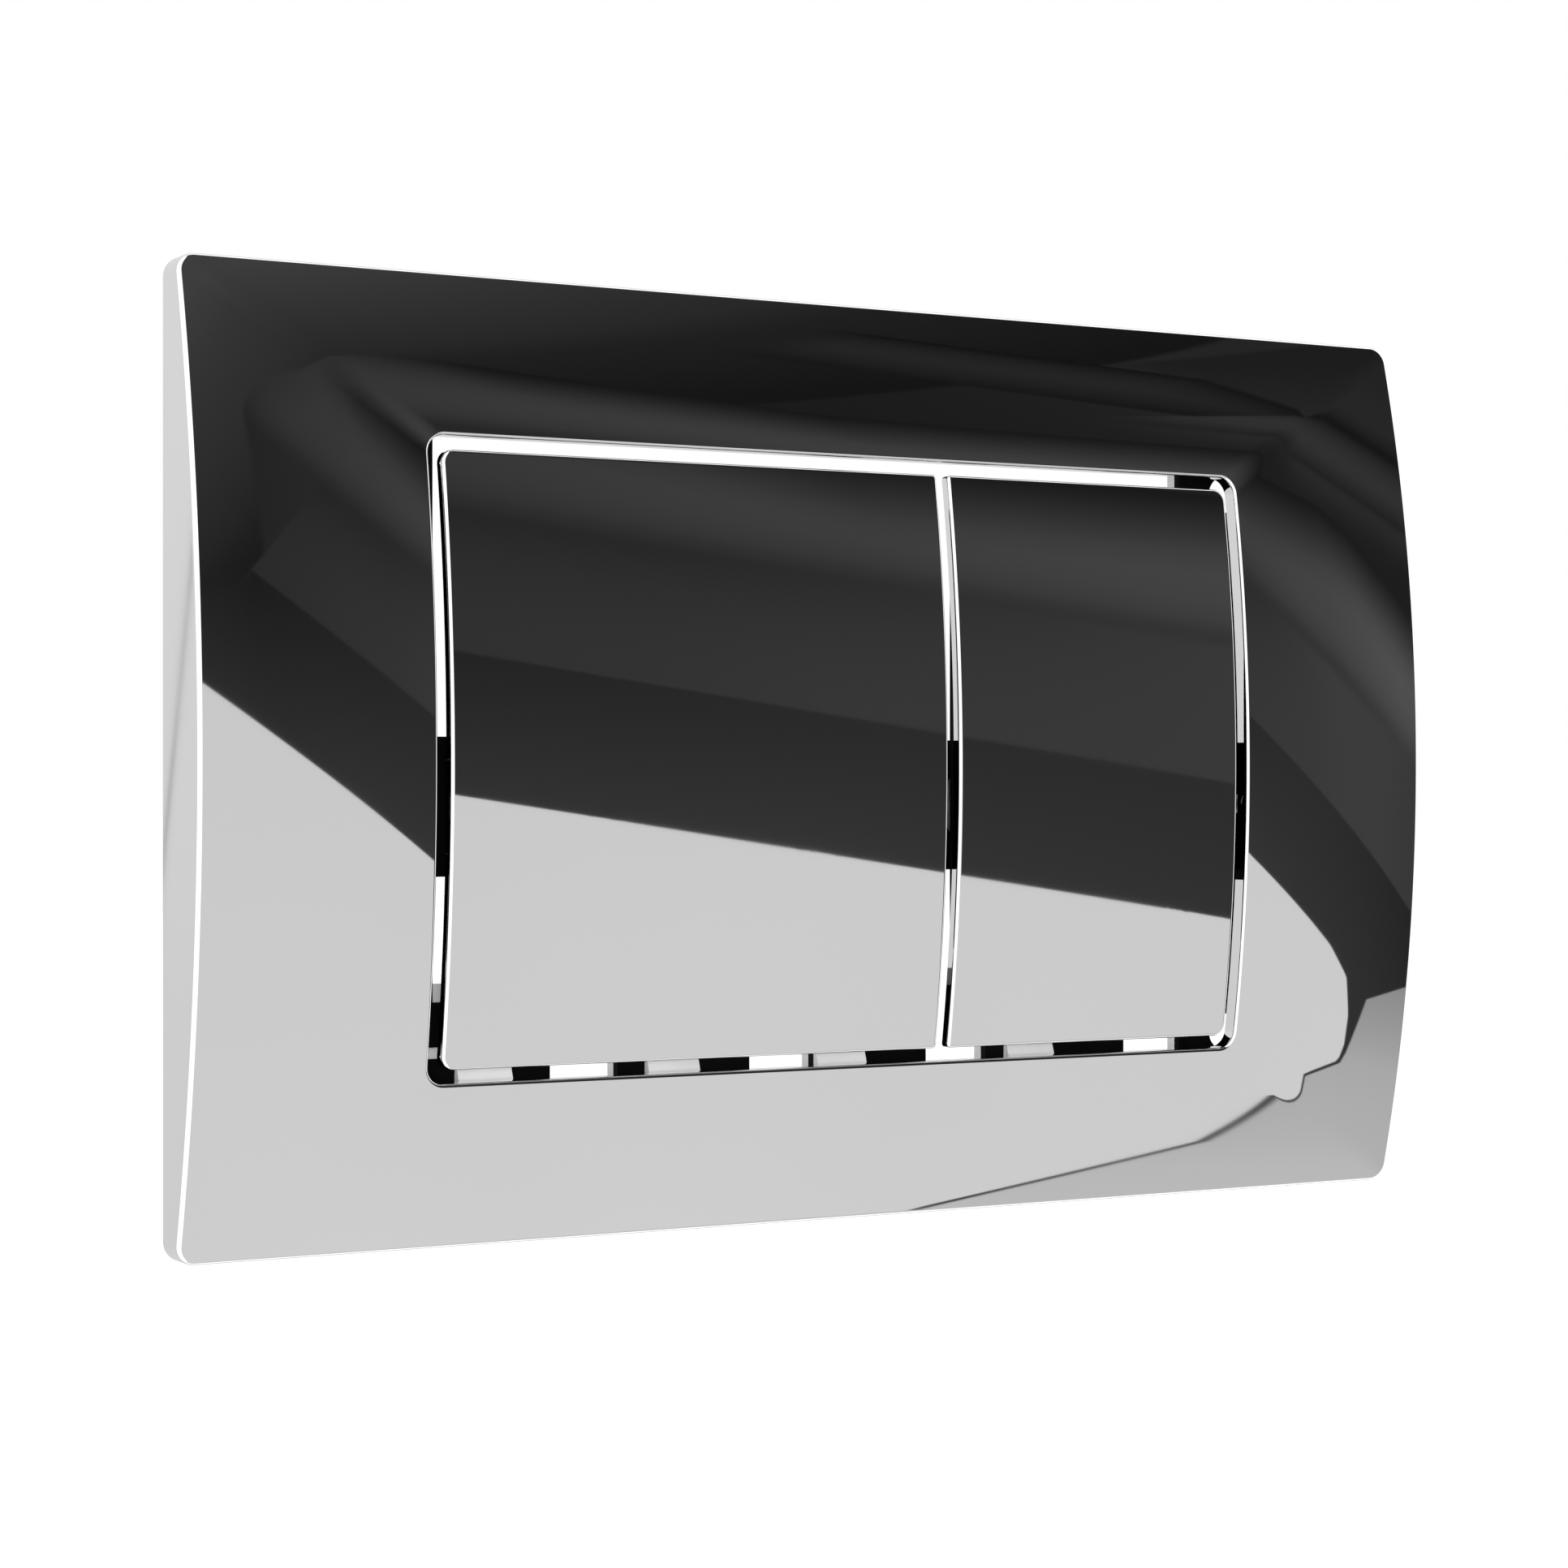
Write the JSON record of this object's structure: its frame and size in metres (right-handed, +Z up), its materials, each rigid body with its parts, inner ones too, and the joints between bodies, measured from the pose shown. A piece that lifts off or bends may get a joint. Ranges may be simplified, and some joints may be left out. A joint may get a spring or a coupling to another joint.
{
  "type": "dual flush button plate",
  "caption": "Wall plate with a wide and a narrow flush button on hinged rockers that push rods back into a concealed cistern.",
  "frame": {"origin": "middle of the cover plate, on the wall plane that the back of its rim bears on", "axes": "+Z up, +X to the right seen from the front, +Y into the wall towards the cistern, the buttons face -Y"},
  "size_m": [0.246, 0.0858, 0.1612],
  "materials": {
    "polished_chrome": "polished",
    "black_plastic": "moulded",
    "light_grey_plastic": "moulded",
    "grey_rubber": "soft",
    "white_plastic": "moulded",
    "grey_plastic": "moulded",
    "zinc_steel": "zinc plated"
  },
  "bodies": {
    "frame": {"cover_plate": "polished_chrome", "button_carrier": "black_plastic", "mounting_frame": "light_grey_plastic", "buffer_pads": "grey_rubber", "full_hinge_pin": "zinc_steel", "half_hinge_pin": "zinc_steel", "full_return_springs": "zinc_steel", "half_return_springs": "zinc_steel", "carrier_screws": "zinc_steel", "full_rod_guide": "grey_plastic", "half_rod_guide": "grey_plastic", "fixing_studs": "zinc_steel", "stud_nuts": "black_plastic", "stud_washers": "black_plastic"},
    "full_button": {"full_flush_button": "polished_chrome", "full_flush_rocker": "black_plastic", "full_button_screws": "zinc_steel"},
    "half_button": {"half_flush_button": "polished_chrome", "half_flush_rocker": "black_plastic", "half_button_screws": "zinc_steel"},
    "full_rod": {"full_push_rod": "white_plastic", "full_rod_head": "grey_plastic", "full_lock_nut": "white_plastic"},
    "half_rod": {"half_push_rod": "white_plastic", "half_rod_head": "grey_plastic", "half_lock_nut": "white_plastic"}
  },
  "joints": [
    {"name": "full_press", "type": "hinge", "parent": "frame", "child": "full_button", "pos_m": [0, -0.005, 0.042], "axis": [1, 0, 0], "range_deg": [0, 4.3], "stiffness_Nm_per_rad": 1, "springref_deg": -14.32, "deforming": ["full_return_springs"]},
    {"name": "half_press", "type": "hinge", "parent": "frame", "child": "half_button", "pos_m": [0, -0.005, 0.042], "axis": [1, 0, 0], "range_deg": [0, 4.3], "stiffness_Nm_per_rad": 1, "springref_deg": -14.32, "deforming": ["half_return_springs"]},
    {"name": "full_rod_slide", "type": "slide", "parent": "frame", "child": "full_rod", "axis": [0, 1, 0], "range_m": [0, 0.00374]},
    {"name": "half_rod_slide", "type": "slide", "parent": "frame", "child": "half_rod", "axis": [0, 1, 0], "range_m": [0, 0.00374]}
  ],
  "couplings": [
    {"joint": "full_rod_slide", "follows": "full_press", "m_per_rad": 0.04975},
    {"joint": "half_rod_slide", "follows": "half_press", "m_per_rad": 0.04975}
  ]
}
